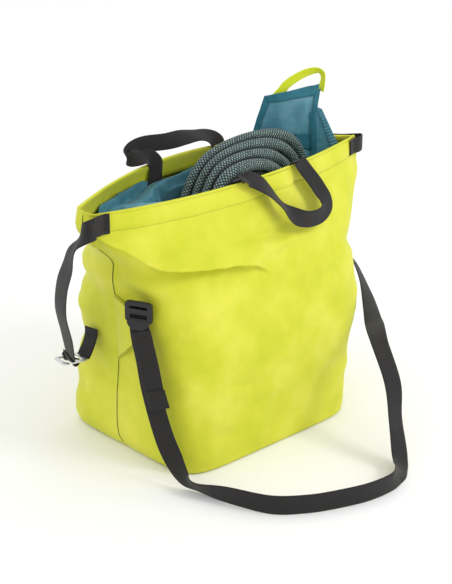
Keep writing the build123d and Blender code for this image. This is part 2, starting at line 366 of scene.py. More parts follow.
def shell_row(z):
    """The outline's values at one height, eased through the rows."""
    for low, high in zip(SHELL_ROWS, SHELL_ROWS[1:]):
        if z <= high[0]:
            break
    i = SHELL_ROWS.index(low)
    before = SHELL_ROWS[max(i - 1, 0)]
    after = SHELL_ROWS[min(i + 2, len(SHELL_ROWS) - 1)]
    span = high[0] - low[0]
    f = clamp((z - low[0]) / span)
    values = []
    for k in range(1, len(low)):
        slope_low = (high[k] - before[k]) / (high[0] - before[0]) * span
        slope_high = (after[k] - low[k]) / (after[0] - low[0]) * span
        values.append(
            low[k] * (2 * f ** 3 - 3 * f * f + 1) + slope_low * (f ** 3 - 2 * f * f + f)
            + high[k] * (3 * f * f - 2 * f ** 3) + slope_high * (f ** 3 - f * f)
        )
    return values


OUTLINE_STEPS = 240
BLUNT_ROUND = 1.5


def outline(side, z):
    """One panel's plan at a height, resampled to even steps from the left seam to the right."""
    left, right, left_seam, right_seam, front, back, corner, bow, blunt = shell_row(z)
    middle, half = (left + right) / 2, (right - left) / 2
    widest = front if side == FRONT else back
    raw = []
    for step in range(OUTLINE_STEPS + 1):
        turn = pi * (1 - cos(pi * step / OUTLINE_STEPS)) / 2
        across = cos(turn)
        x = middle - half * abs(across) ** corner * (1 if across > 0 else -1)
        seam = left_seam + (right_seam - left_seam) * (x - left) / (right - left)
        near = seam + side * blunt * (1 - exp((left - x) / BLUNT_ROUND)) * (1 - abs(1 - across) / 2)
        raw.append(Vector((x, near + (widest - near) * round(sin(turn), 9) ** bow)))
    run = run_lengths(raw)
    points, k = [], 0
    for column in range(COLUMNS + 1):
        want = run[-1] * column / COLUMNS
        while k < OUTLINE_STEPS - 1 and run[k + 1] < want:
            k += 1
        points.append(raw[k].lerp(raw[k + 1], (want - run[k]) / max(run[k + 1] - run[k], 1e-9)))
    return points, run[-1]


# Soft dents and swells of each side: place along the outline (0 to 1), height, half-width along
# the outline, half-height, slant in millimetres of height per unit of outline, and depth
DENTS = {
    FRONT: [
        (0.08, 222, 0.06, 15, -40, -6), (0.1, 160, 0.1, 16, 90, -3), (0.13, 88, 0.09, 26, 0, 2.5),
        (0.3, 190, 0.09, 40, 0, 3), (0.58, 302, 0.035, 22, -180, -9), (0.685, 318, 0.022, 16, -120, -5),
        (0.52, 277, 0.16, 7, 60, -3.6), (0.5, 262, 0.14, 9, 60, 4), (0.88, 226, 0.07, 14, 40, -7),
        (0.84, 150, 0.08, 30, 0, 4.5), (0.6, 120, 0.12, 26, 50, 1.8), (0.45, 60, 0.1, 14, -40, -1.6),
        (0.7, 74, 0.08, 9, 60, -1.4), (0.34, 42, 0.07, 10, -70, -2.4), (0.9, 110, 0.05, 16, -60, -3.5),
        (0.66, 205, 0.07, 8, 50, -1.2), (0.24, 225, 0.06, 12, 120, -3), (0.36, 100, 0.1, 9, -90, -1.6),
    ],
    BACK: [
        (0.16, 212, 0.1, 13, 90, -8), (0.2, 130, 0.09, 12, 60, -6), (0.22, 84, 0.08, 20, 30, 4),
        (0.18, 172, 0.08, 16, 40, 4.5), (0.2, 245, 0.1, 18, -60, 5), (0.2, 40, 0.08, 12, -60, 2),
        (0.5, 250, 0.2, 16, 40, -4), (0.6, 160, 0.16, 30, -40, 4), (0.45, 90, 0.14, 14, 60, -2.5),
        (0.8, 215, 0.08, 14, -80, -6), (0.82, 130, 0.07, 20, 40, -4),
    ],
}

# The fold under the flared left end of the mouth: x against the crease's height
CREASE = [
    (-243, 328), (-216, 311), (-195, 299), (-180, 288), (-166, 276), (-152, 267), (-122, 263), (-68, 259),
    (-38, 250), (-14, 235), (20, 205),
]

# The softer fold above it, running up towards the right
SOFT_FOLD = [(-150, 299), (-101, 289), (-68, 282), (-1, 273), (37, 269), (73, 266), (110, 262)]


def fold_height(fold, x):
    """The height of a fold's edge at this x."""
    for (x0, z0), (x1, z1) in zip(fold, fold[1:]):
        if x <= x1:
            return z0 + (z1 - z0) * (x - x0) / (x1 - x0)
    return fold[-1][1]


def relief(side, along, z, x):
    """How far the fabric stands out from its plain outline."""
    out = 0
    for place, height, wide, tall, slant, depth in DENTS[side]:
        rise = z - height - slant * (along - place)
        out += depth * exp(-(((along - place) / wide) ** 2) - (rise / tall) ** 2)
    if side == FRONT:
        above = z - fold_height(SOFT_FOLD, x)
        fade = smooth_step(-150, -60, x) * (1 - smooth_step(40, 105, x))
        higher = smooth_step(-5, 4, above)
        out += fade * 3.6 * (exp(min(above, 0) / 26) * (1 - higher) - exp(-max(above, 0) / 18) * higher)
        above = z - fold_height(CREASE, x)
        fade = (1 - smooth_step(-75, -2, x)) * (1 - smooth_step(304, 321, z))
        folded = smooth_step(-2, 1, above)
        out += fade * 14 * exp(-max(above, 0) / 24) * folded
        out -= fade * 9 * exp(min(above, 0) / 17) * (1 - folded)
    free = smooth_step(0, 30, z) * (1 - smooth_step(318, 340, z))
    seed = Vector((x * 0.018, side * 3.7 + along * 4, z * 0.018))
    out += free * 2.6 * noise.fractal(seed, 0.9, 2.1, 3)
    fine = Vector((along * 26, side * 9.1, z * 0.07))
    out += free * 0.7 * noise.noise(fine)
    at_seam = min(along, 1 - along)
    pucker = exp(-((at_seam / 0.018) ** 2))
    out -= pucker * (1.6 + 0.7 * noise.noise(Vector((side, z * 0.12, 5))))
    stitched = exp(-(((z - HEM_STITCH) / 2.2) ** 2))
    out -= stitched * (1.1 + 0.6 * noise.noise(Vector((along * 60, side, 2))))
    swelled = exp(-(((z - HEM_STITCH - 11) / 9) ** 2))
    return out + 0.8 * swelled


SHELL_CACHE = {}


def shell_line(side, z):
    """The relieved outline at one height: its points, outward normals and length."""
    key = (side, round(z, 3))
    if key not in SHELL_CACHE:
        plain, length = outline(side, max(z, 0))
        under = TURN_UNDER - sqrt(max(TURN_UNDER ** 2 - max(TURN_UNDER - z, 0) ** 2, 0))
        points, normals = [], []
        for c, spot in enumerate(plain):
            ahead = plain[min(c + 2, COLUMNS)] - plain[max(c - 2, 0)]
            normal = Vector((ahead.y, -ahead.x)).normalized() * -side
            along = c / COLUMNS
            edge = smooth_step(0, 0.012, min(along, 1 - along))
            out = relief(side, along, z, spot.x) * (0.35 + 0.65 * edge) - under
            points.append(spot + normal * out)
            normals.append(normal)
        SHELL_CACHE[key] = (points, normals, length)
    return SHELL_CACHE[key]


def shell_spot(side, along, z, out=0):
    """A point on the fabric, moved outwards, with the outward normal there."""
    points, normals, _ = shell_line(side, z)
    place = clamp(along) * COLUMNS
    c = min(int(place), COLUMNS - 1)
    spot = points[c].lerp(points[c + 1], place - c)
    normal = normals[c].lerp(normals[c + 1], place - c).normalized()
    spot = spot + normal * out
    return Vector((spot.x, spot.y, z)), Vector((normal.x, normal.y, 0))


def along_at(side, x, z):
    """The place along the outline of one x, on the panel's wide face."""
    points, _, _ = shell_line(side, z)

    def miss(c):
        near_seam = min(c, COLUMNS - c) <= 20
        return abs(points[c].x - x) + (5 if near_seam else 0)

    return min(range(COLUMNS + 1), key=miss) / COLUMNS


FABRIC = 1.5          # the shell's thickness


def shell_seam(z):
    """The seam points that both panels meet in, left and right."""
    front, _, _ = shell_line(FRONT, z)
    back, _, _ = shell_line(BACK, z)
    return (front[0] + back[0]) / 2, (front[-1] + back[-1]) / 2


def shell_panel(side, name):
    def at(r, c):
        z = HEM_TOP * r / ROWS
        points, _, length = shell_line(side, z)
        spot = shell_seam(z)[c > 0] if c in (0, COLUMNS) else points[c]
        return (spot.x, spot.y, z), (length * c / COLUMNS, z)

    thicken(surface(name + "_fabric", ROWS, COLUMNS, at, LIME, "bag", [name], side == BACK), FABRIC)


RIM_HIGH = 1.8        # how far the rim's fold stands over its own foot
RIM_POINTS = 6        # how many points of the facing's profile belong to the rim
MOUTH_LONG = 430      # one side of the mouth, along its rim


def hem_facing(side, name):
    """The rim of the mouth and the facing that is folded down inside it."""
    profile = [(0, -1.2), (0, 0.4), (-0.5, 1.3), (-1.6, RIM_HIGH), (-2.8, 1.3), (-3.4, 0.2)]
    profile += [(-3.6, -drop) for drop in (3, 8, 13, 18, 22, 25, 27)]
    run = run_lengths([Vector(place) for place in profile])

    def at(r, c):
        (inset, rise), along = profile[r], c / COLUMNS
        z = HEM_TOP + rise - RIM_HIGH
        near = smooth_step(0, 0.05, min(along, 1 - along))
        spot, normal = shell_spot(side, along, min(z, HEM_TOP), inset * (0.25 + 0.75 * near))
        lump = 0.35 * noise.noise(Vector((along * 40, z * 0.2, side)))
        spot = spot + normal * (lump if r >= RIM_POINTS else 0)
        return (spot.x, spot.y, z), (along * MOUTH_LONG, run[r])

    thicken(surface(name + "_facing", len(profile) - 1, COLUMNS, at, LIME, "bag", [name], side == BACK), 0.9)


def base_fabric():
    """The floor of the bag, turned up a little inside the shell."""
    rings = []
    for inset, z in ((1, 9), (1.6, 3), (5, 1.2), (14, 0.5), (40, 0.9), (75, 1.2), (100, 1.3)):
        ring = []
        for side in (FRONT, BACK):
            points, normals, _ = shell_line(side, max(z, 1))
            for c in range(0, COLUMNS, 4) if side == FRONT else range(COLUMNS, 0, -4):
                spot = points[c] - normals[c] * (inset if inset < 20 else 14)
                if inset >= 20:
                    spot = spot * (1 - (inset - 14) / 110)
                ring.append((spot.x, spot.y, z))
        rings.append(ring)
    verts = sum(rings, [])
    # The last ring's own face closes the floor; the first one, at the shell, stays open
    faces = capped_tube(len(rings), len(rings[0]))
    del faces[-2]
    uvs = [v[:2] for v in verts]
    made = piece("base_fabric", verts, faces, LIME, "bag", uvs, ["base_panel"])
    thicken(made, 0.8, 0)


# ---- thread

# A stitch's outline: place along it, and its thickness and lift over the thread's radius
STITCH = [(0, 0.35, -0.25), (0.18, 0.9, 0.1), (0.5, 1, 0.25), (0.82, 0.9, 0.1), (1, 0.35, -0.25)]
STITCH_SIDES = 6


def stitches(name, spots, body, material, pitch=3.6, length=2.5, radius=0.32):
    """A row of stitches along (point, outward normal) pairs: small capsules laid end to end."""
    run = run_lengths([spot for spot, _ in spots])

    def at(distance):
        k = 0
        while k < len(run) - 2 and run[k + 1] < distance:
            k += 1
        f = (distance - run[k]) / max(run[k + 1] - run[k], 1e-9)
        return spots[k][0].lerp(spots[k + 1][0], f), spots[k][1].lerp(spots[k + 1][1], f).normalized()

    verts, faces = [], []
    capsule = capped_tube(len(STITCH), STITCH_SIDES)
    place = pitch / 2
    while place + length < run[-1]:
        faces += [tuple(len(verts) + i for i in face) for face in capsule]
        for f, scale, lift in STITCH:
            spot, normal = at(place + length * f)
            ahead = (at(place + length * f + 0.3)[0] - spot).normalized()
            wide = ahead.cross(normal).normalized()
            for k in range(STITCH_SIDES):
                turn = tau * k / STITCH_SIDES
                rise = lift * radius + radius * scale * sin(turn)
                verts.append(spot + normal * rise + wide * radius * scale * cos(turn))
        place += pitch
    return piece(name, verts, faces, material, body)


def hem_thread(side, name, height=HEM_STITCH, out=0.1, start=0.03, end=0.97):
    """A row of stitches along the hem, from start to end of the panel's outline."""
    spots = [shell_spot(side, start + (end - start) * i / 160, height, out) for i in range(161)]
    stitches(name, spots, "bag", LIME_THREAD)


def seam_line(side_end, name, low=6, high=290):
    """The dark line in the side seam: its thread, made dark as painted shade of the seam."""
    spots = []
    for i in range(90):
        z = low + (high - low) * i / 89
        seam = shell_seam(z)[side_end]
        outward = Vector((-1 if side_end == 0 else 1, 0, 0))
        spots.append((Vector((seam.x, seam.y, z)), outward))
    stitches(name, spots, "bag", SEAM_THREAD_AND_SHADE, pitch=3.3, length=3.3, radius=0.55)


# ---- webbing

WEB = 25
WEB_THICK = 1.7
# Places across the webbing, from edge to edge, close together where its edges are rounded
ACROSS = [-1, -0.97, -0.9, -0.6, -0.3, 0, 0.3, 0.6, 0.9, 0.97, 1]


def strap_frames(route, count):
    """Centre, width direction and face normal at even steps along the route's stations."""
    centres = [Vector(centre) for centre, _ in route]
    wides = [Vector(wide).normalized() for _, wide in route]
    frames = []
    for i in range(count + 1):
        t = i / count
        centre = through(centres, t)
        ahead = (through(centres, min(t + 0.004, 1)) - through(centres, max(t - 0.004, 0))).normalized()
        wide = through(wides, t)
        wide = (wide - ahead * wide.dot(ahead)).normalized()
        frames.append((centre, wide, ahead.cross(wide).normalized()))
    return frames


def stations(*rows):
    """Stations from rows of six numbers: a place, then a width direction."""
    return [(row[:3], row[3:]) for row in rows]


def facing(wide, *places):
    """Stations that share one width direction."""
    return [(place, wide) for place in places]


def webbing(name, route, body, material=BLACK_WEB, slot="webbing", width=WEB, thick=WEB_THICK, count=120,
            cup=0, replaces=()):
    """Flat webbing through (centre, width direction) stations, with rounded edges."""
    frames = strap_frames(route, count)
    verts, uvs = [], []
    run = run_lengths([centre for centre, _, _ in frames])
    ring = [(a, 1) for a in ACROSS] + [(a, -1) for a in ACROSS[-2:0:-1]]
    for (centre, wide, normal), along in zip(frames, run):
        for a, face in ring:
            half = thick / 2 * (1 - abs(a) ** 12) ** 0.5 if abs(a) < 1 else 0
            wave = cup * (a * a - 0.4)
            verts.append(centre + wide * (a * width / 2) + normal * (face * half + wave))
            uvs.append((a * width / 2, along))
    faces = capped_tube(count + 1, len(ring))
    return piece(name, verts, faces, material, body, uvs, replaces)


def node_webbing(cad_node, route, body, **how):
    """Webbing that stands for one whole CAD node."""
    webbing(cad_node + "_webbing", route, body, replaces=(cad_node,), **how)


SEWN_LIFT = 1.2       # a box stitch's height over the webbing's middle


def box_stitch(name, centre, wide, high, normal, width, height, body="bag", cross=True):
    """A sewn box, with a cross in it, on a webbing face."""
    centre, wide, high, normal = (Vector(v) for v in (centre, wide, high, normal))
    wide, high, normal = wide.normalized(), high.normalized(), normal.normalized()
    corners = [(-1, -1), (1, -1), (1, 1), (-1, 1), (-1, -1)]
    if cross:
        corners += [(1, 1), (1, -1), (-1, 1)]
    spots = []
    for (ax, ay), (bx, by) in zip(corners, corners[1:]):
        for i in range(9):
            f = i / 8
            x, y = (ax + (bx - ax) * f) * width / 2, (ay + (by - ay) * f) * height / 2
            spots.append((centre + wide * x + high * y + normal * SEWN_LIFT, normal))
    stitches(name, spots, body, BLACK_THREAD, pitch=2.6, length=1.95, radius=0.3)


# ---- the bag's fabric

for side in (FRONT, BACK):
    shell_panel(side, SIDE_NAMES[side] + "_panel")
for side in (FRONT, BACK):
    hem_facing(side, SIDE_NAMES[side] + "_hem")
base_fabric()
for side in (FRONT, BACK):
    hem_thread(side, SIDE_NAMES[side] + "_hem_thread")
for side in (FRONT, BACK):
    hem_thread(side, SIDE_NAMES[side] + "_facing_thread", HEM_TOP - HEM_DEEP, -4.9, 0.05, 0.95)
seam_line(0, "left_seam_thread")
seam_line(1, "right_seam_thread")
seam_line(0, "left_hem_end_thread", 323, 342)

for side_end, inward, node_name in ((0, 1, "left_seam_tape"), (1, -1, "right_seam_tape")):
    tape = []
    for z in (52, 90, 130, 170, 208):
        seam = shell_seam(z)[side_end]
        tape.append(((seam.x + inward * 4.5, seam.y, z), (0, 1, 0)))
    webbing(node_name + "_binding", tape, "bag", width=12, thick=1, count=50, replaces=(node_name,))


def wing(cad_node, side_end, outward, apex):
    """Doubled fabric sewn in the seam, pulled to a short edge behind the buckle."""
    low, high = 122, 212
    tip_low, tip_high = (Vector(point) for point in apex)
    rows, columns = 34, 30

    def at(r, c):
        f, g = r / rows, c / columns
        z = low + (high - low) * f
        seam = shell_seam(z)[side_end]
        root = Vector((seam.x + outward * 0.6, seam.y, z))
        swell = 3.2 * sin(pi * g) * (0.35 + sin(pi * f))
        fold = 0.8 * sin(f * 17 + g * 5) * sin(pi * g) ** 0.5 * g
        spot = root.lerp(tip_low.lerp(tip_high, f), g) + Vector((outward * (swell + fold), -0.4 * swell, 0))
        return spot, (g * 45, z)

    name = cad_node + "_fabric"
    thicken(surface(name, rows, columns, at, LIME, "bag", [cad_node], outward > 0), 1.6, 0)
    for edge, edge_name in ((0, "low"), (rows, "high")):
        shift = Vector((outward * 0.9, 0, 1.2 if edge == 0 else -1.2))
        normal = Vector((outward, -0.3, 0)).normalized()
        spots = [(at(edge, c)[0] + shift, normal) for c in range(columns + 1)]
        # Dark thread on the wing's edges, which also stands for the painted shade under those edges
        stitches(f"{name}_{edge_name}_thread", spots, "bag", SEAM_THREAD_AND_SHADE, 3.3, 2.8, 0.4)


wing("left_wing", 0, -1, ((-166, -50, 168), (-165.5, -46, 206)))
wing("right_wing", 1, 1, ((176, -52, 166), (178, -50, 205)))


# ---- webbing sewn on the bag

HEM_FACE = HEM_TOP - 12     # the middle height of the webbing sewn on the hem

FRONT_LEGS = (-34, 64)
BACK_LEGS = (-58, 44)
LEG_TOP = 338         # where a leg leaves the inside of the hem to cross the rim
HANDLE_WEB = 21


def handle_leg(handle, i, x, inner_y, low, over, sway=0):
    """A handle's sewn end: up the inside of the hem, then over its rim."""
    inside = [(x + sway * lean, inner_y, low + (LEG_TOP - low) * up)
              for up, lean in ((0, 1), (0.5, 0.2), (1, 0))]
    webbing(f"{handle}_leg_{i}", facing((1, 0, 0), *inside, *over), "bag", width=HANDLE_WEB, count=44,
            replaces=() if i else (handle + "_ends",))


for i, x in enumerate(FRONT_LEGS):
    handle_leg("front_handle", i, x, -80.2, 316, [(x, -80.8, 345.5), (x, -83.6, 348.8), (x, -87.3, 349.4)])
for i, (x, sway) in enumerate(zip(BACK_LEGS, (-9, 3))):
    lean = (x - BACK_LEGS[1]) * 0.015
    handle_leg("back_handle", i, x, 37.2 - 0.4 * i, 306, [(x, 36.8, 343), (x + lean, 36.9, 347.5)], sway)
for handle, legs, y, z, inward in (("back", BACK_LEGS, 36.8, 322, -1), ("front", FRONT_LEGS, -79.2, 330, 1)):
    for i, x in enumerate(legs):
        box_stitch(f"{handle}_handle_sewing_{i}", (x, y, z), (1, 0, 0), UP, (0, inward, 0), 15, 20)

patch_spots = [shell_spot(FRONT, along, HEM_FACE, 1.9) for along in (0.074, 0.067, 0.06)]
# The patch's free end stands off the hem, out to the line the closure strap turns on
PATCH = facing(UP, *(spot for spot, _ in patch_spots), (-225, -58.4, 333), (-231, -59.5, 333.3),
               (-236, -60.6, 333.3))
node_webbing("closure_patch", PATCH, "bag", count=30)
box_stitch("closure_patch_sewing", patch_spots[1][0], patch_spots[2][0] - patch_spots[0][0], UP,
           patch_spots[1][1], 6, 19)

KEEPER = stations(
    (-156.8, 49, 151, 0, 1, -0.15), (-158.4, 48, 141, 0, 1, -0.15), (-163.2, 47.3, 131, 0, 1, -0.15),
    (-169, 47, 122, 0, 1, -0.1), (-172.5, 47, 117.5, 0, 1, -0.1),
)
node_webbing("gusset_keeper", KEEPER, "bag", count=40)
box_stitch("gusset_keeper_sewing", (-158.2, 48.3, 144), (0, 1, -0.15), UP, (-1, 0, 0.05), 19, 10)

loop_spots = [shell_spot(FRONT, along_at(FRONT, x, HEM_FACE), HEM_FACE, 1.6) for x in (179, 184, 189)]
END_LOOP = facing(
    UP, *(spot for spot, _ in loop_spots), (200, -59.5, HEM_FACE), (208, -56.5, HEM_FACE),
    (210.5, -52.5, HEM_FACE), (207, -49, HEM_FACE),
    *(shell_spot(BACK, along_at(BACK, x, HEM_FACE), HEM_FACE, 2.4)[0] for x in (192, 184, 178)),
)
webbing("hem_end_webbing", END_LOOP, "bag", width=HANDLE_WEB, count=60, replaces=("hem_end_loop",))
box_stitch("hem_end_sewing", loop_spots[1][0], loop_spots[2][0] - loop_spots[0][0], UP, loop_spots[1][1],
           8, 16, cross=False)


# ---- handles and straps

FRONT_HANDLE = stations(
    (-34, -87, 349.5, 1, 0, 0), (-24, -90.5, 348.5, 1, 0, 0.05), (-11, -95.5, 341.5, 0.9, 0.2, 0.2),
    (0, -100, 331, 0.8, 0.5, 0.1), (8, -105, 320, 0.65, 0.7, 0.1), (16, -110, 309, 0.6, 0.7, 0.1),
    (25, -115, 299, 0.45, 0.45, 0.6), (37, -118, 291, 0.2, 0.1, 0.95), (54, -119, 286, 0, 0, 1),
    (73, -118, 286, -0.45, 0, 0.9), (85, -115, 293, -0.85, 0, 0.5), (86, -111, 303, -1, 0, 0.1),
    (82, -106, 313, -1, 0, -0.15), (76, -100, 326, -1, 0, -0.15), (70, -93, 338, -1, 0, -0.1),
    (65.5, -89, 346.5, -1, 0, 0), (64, -87, 349.5, -1, 0, 0),
)
node_webbing("front_handle", FRONT_HANDLE, "front_handle", width=HANDLE_WEB, count=170, cup=0.4)

BACK_HANDLE = stations(
    (-58.5, 37.1, 343.5, 1, 0, 0.1), (-61.5, 36.9, 348, 0.93, 0, 0.25), (-68, 36.6, 353.3, 0.7, 0.15, 0.6),
    (-78, 36.4, 357, 0.25, 0.6, 0.5), (-89, 36.4, 358.5, -0.1, 0.4, 0.85),
    (-97.5, 36.8, 359.5, -0.3, 0.1, 0.93), (-101.5, 39.4, 360.5, -0.42, 0, 0.9),
    (-97.5, 42.2, 363, -0.4, 0.1, 0.9), (-89, 43, 368, -0.3, 0.1, 0.95), (-72, 43, 370, -0.1, 0, 1),
    (-37, 42.5, 365.5, 0, 0.15, 1), (-10, 41.5, 365, 0.1, 0.65, 0.75), (10, 40.5, 363.5, 0.3, 0.85, 0.42),
    (26, 39, 360, 0.7, 0.6, 0.35), (38, 37.8, 353.5, 0.95, 0.2, 0.25), (44.5, 37.1, 347, 1, 0, 0.1),
    (45, 36.9, 343, 1, 0, 0),
)
node_webbing("back_handle", BACK_HANDLE, "back_handle", width=HANDLE_WEB, count=170, cup=-0.3)

SHOULDER_STRAP = stations(
    (-168.2, -55.9, 204, 0.43, -0.9, 0), (-168.6, -56.6, 195, 0.43, -0.9, 0),
    (-170.4, -62, 176, 0.43, -0.9, -0.1), (-170, -69.5, 150, 0.43, -0.88, -0.2),
    (-170.5, -79.7, 113, 0.43, -0.87, -0.25), (-168.7, -96.4, 66, 0.43, -0.86, -0.28),
    (-167, -112, 38, 0.4, -0.88, -0.2), (-165, -128, 18, 0.1, -0.95, 0.25),
    (-162, -150, 11, -0.45, -0.5, 0.74), (-150, -190, 12.8, -0.15, -0.1, 0.98), (-129, -240, 12.8, 0, 0, 1),
    (-98, -267, 12.8, 0, 0, 1), (-66, -283, 12.8, 0, 0, 1), (-25, -297, 12.8, 0, 0, 1),
    (12, -300, 12.8, -0.1, 0, 1), (34, -292, 12.4, -0.5, 0.05, 0.85), (53, -278, 11, -0.85, 0.1, 0.5),
    (66, -264, 22, -0.97, 0.15, 0.2), (76, -247, 56, -1, -0.1, 0), (92, -226, 92, -0.97, 0.1, 0),
    (113, -182, 128, -0.95, 0.1, 0), (148, -140, 134, -0.95, -0.3, 0), (177, -101, 150, -0.85, -0.55, 0),
    (187, -73, 174, -0.68, -0.73, 0), (185, -57, 190, -0.4, -0.92, 0), (179, -50, 199, -0.2, -0.98, 0),
)
node_webbing("shoulder_strap", SHOULDER_STRAP, "shoulder_strap", count=440, cup=0.3)

STRAP_TAIL = stations(
    (-171, -62.5, 188, 0.43, -0.9, 0), (-170.4, -74.5, 150, 0.43, -0.88, -0.2),
    (-170.6, -83.9, 118, 0.43, -0.87, -0.25), (-168.9, -91, 96, 0.43, -0.87, -0.27),
)
node_webbing("strap_tail", STRAP_TAIL, "shoulder_strap", count=60)
TAIL_FOLD = stations(
    (-170.8, -86.9, 118, 0.43, -0.87, -0.25), (-170, -90.1, 107, 0.43, -0.87, -0.26),
    (-169.2, -93.7, 96, 0.43, -0.87, -0.27),
)
webbing("strap_tail_fold", TAIL_FOLD, "shoulder_strap", width=24.5, thick=2.6, count=24)
box_stitch("strap_tail_sewing", (-170.2, -90.1, 107), (0.43, -0.87, -0.26), (0.06, -0.28, -0.96),
           (-0.9, -0.42, 0.05), 21, 15, "shoulder_strap", cross=False)

CLOSURE_STRAP = stations(
    (-235, -60.4, 333.3, 0, 0, 1), (-239.5, -60.2, 332, 0.05, 0.1, 1),
    (-244.5, -55.5, 326, 0.33, 0.5, 0.55), (-248.5, -47, 314.5, 0.58, 0.74, -0.02),
    (-251, -37.5, 299.5, 0.4, 0.88, 0.12), (-249, -28, 280, 0.26, 0.93, 0.2),
    (-243.5, -9, 249, 0.16, 0.95, 0.2), (-232.5, 10, 208, 0.1, 0.95, 0.25), (-210, 30, 163, 0.1, 0.97, 0.2),
    (-194.5, 45.5, 131, 0.2, 0.96, 0.15), (-188.5, 51.5, 119, 0.28, 0.96, 0.1),
)
node_webbing("closure_strap", CLOSURE_STRAP, "closure_strap", count=180, cup=0.4)


# ---- plates cut from outlines

def rounded(cx, cy, width, height, radius, steps=6):
    """A rounded rectangle as a loop of points."""
    points = []
    for sx, sy, start in ((1, 1, 0), (-1, 1, 90), (-1, -1, 180), (1, -1, 270)):
        for k in range(steps + 1):
            turn = radians(start + 90 * k / steps)
            points.append((cx + sx * (width / 2 - radius) + radius * cos(turn),
                           cy + sy * (height / 2 - radius) + radius * sin(turn)))
    return points


def plate(name, loops, thickness, bevel, origin, wide, high, material, body, lift=0, replaces=()):
    """A flat plate with holes and rounded edges, set on a plane by its centre and two directions."""
    curve = bpy.data.curves.new(name, "CURVE")
    curve.dimensions = "2D"
    curve.fill_mode = "BOTH"
    curve.extrude = thickness / 2 - bevel
    curve.bevel_depth = bevel
    curve.bevel_resolution = 3
    for loop in loops:
        spline = curve.splines.new("POLY")
        spline.points.add(len(loop) - 1)
        for point, (x, y) in zip(spline.points, loop):
            point.co = (x, y, 0, 1)
        spline.use_cyclic_u = True
    holder = new_object(name, curve)
    flat = bpy.data.meshes.new_from_object(holder)
    wide, high = Vector(wide).normalized(), Vector(high).normalized()
    normal = wide.cross(high).normalized()
    verts = [Vector(origin) + wide * v.co.x + high * v.co.y + normal * (v.co.z + lift) for v in flat.vertices]
    faces = [tuple(polygon.vertices) for polygon in flat.polygons]
    bpy.data.objects.remove(holder)
    made = piece(name, verts, faces, material, body, replaces=replaces)
    made.modifiers.new("edges", "WEIGHTED_NORMAL")


LOCK_AT = (-169.3, -57.6, 207)
LOCK_WIDE = (-0.43, 0.903, 0)



def lock_plate(name, loops, thickness, bevel, high=UP, lift=0, replaces=()):
    plate(name, loops, thickness, bevel, LOCK_AT, LOCK_WIDE, high, PLASTIC, "shoulder_strap",
          lift, replaces)


lock_plate("ladder_lock_frame",
           [rounded(0, 3, 33, 25, 4), rounded(0, 9, 24.4, 4.8, 1.4), rounded(0, -1.8, 23.6, 7.4, 1.4)],
           4.4, 1, replaces=["ladder_lock"])
lock_plate("ladder_lock_bar", [rounded(0, 3.4, 27, 5.6, 2.2)], 4.2, 1.6, lift=0.9)
TAB_HALF = 13.5
tab = [(TAB_HALF, -7.5), (TAB_HALF, -10)]
tab += [(TAB_HALF * cos(radians(turn)), -10 + 8.2 * sin(radians(turn))) for turn in range(-15, -166, -15)]
tab += [(-TAB_HALF, -10), (-TAB_HALF, -7.5)]
lock_plate("ladder_lock_tab", [tab], 2.6, 1, (0.26, 0.12, 1), 0.4)

LOOP_BACK = Vector((0.903, 0.43, 0))
LOCK_LOOP = [(4.6, -4), (4.6, 4), (4.4, 11), (2.6, 15), (0, 16), (-1.4, 14.5)]
loop_route = [Vector(LOCK_AT) + LOOP_BACK * back + UP * rise for back, rise in LOCK_LOOP]
loop_stations = facing((0.43, -0.903, 0), *loop_route)
node_webbing("lock_loop", loop_stations, "shoulder_strap", count=40)

HOOK_AT = (-186, 54, 116)
HOOK_WIDE, HOOK_HIGH = (0.96, -0.28, 0), (0.28, 0.96, -0.14)
# The hook's outline, with the gap that the keeper's webbing slips through
HOOK = [
    (-9.5, -17), (-11.5, -17), (-14.5, -15.5), (-16, -12.5), (-16, 12.5), (-14.5, 15.5), (-11.5, 17),
    (11.5, 17), (14.5, 15.5), (16, 12.5), (16, -12.5), (14.5, -15.5), (11.5, -17), (-4.5, -17), (-4.5, -13),
    (-2.5, -13), (-1.5, -12), (-1.5, 12), (-2.5, 13), (-11.5, 13), (-12.5, 12), (-12.5, -12), (-11.5, -13),
    (-9.5, -13),
]
plate("closure_hook_plate", [HOOK, rounded(8, 0, 7, 26, 1.5)], 2.4, 0.8, HOOK_AT, HOOK_WIDE, HOOK_HIGH,
      STEEL, "closure_hook", replaces=["closure_hook"])
# The closure strap's end, folded round the hook's bar
STRAP_END = facing(
    (0.28, 0.96, 0), (-189.5, 51.5, 121), (-187.5, 53, 118.8), (-184.5, 54, 118.4), (-182.8, 54.6, 116),
    (-184.5, 54, 113.6), (-188.2, 53, 114.4), (-190.5, 52.2, 118.8), (-193, 50.5, 124.5),
)
webbing("closure_strap_end", STRAP_END, "closure_strap", count=60)


# ---- rope

ROPE_THICK = 15
ROPE_CENTRE = Vector((22, -38, 190))
ROPE_HALF_WIDE, ROPE_HALF_TALL = 68, 147
POINTS_PER_TURN = 20
# Rows of strands in the coil's section: place across the band, and how many lie side by side
STRAND_ROWS = [(26, 4), (13, 4), (0, 4), (-13, 4), (-26, 3)]
STRAND_STEP = 15.2


def strand_places():
    """Every strand's place in the band, in the order that they are wound."""
    places = []
    for row, (outward, count) in enumerate(STRAND_ROWS):
        shift = STRAND_STEP / 4 * (1 if row % 2 else -1)
        line = [(outward, (k - (count - 1) / 2) * STRAND_STEP + shift) for k in range(count)]
        places += line if row % 2 == 0 else line[::-1]
    return places


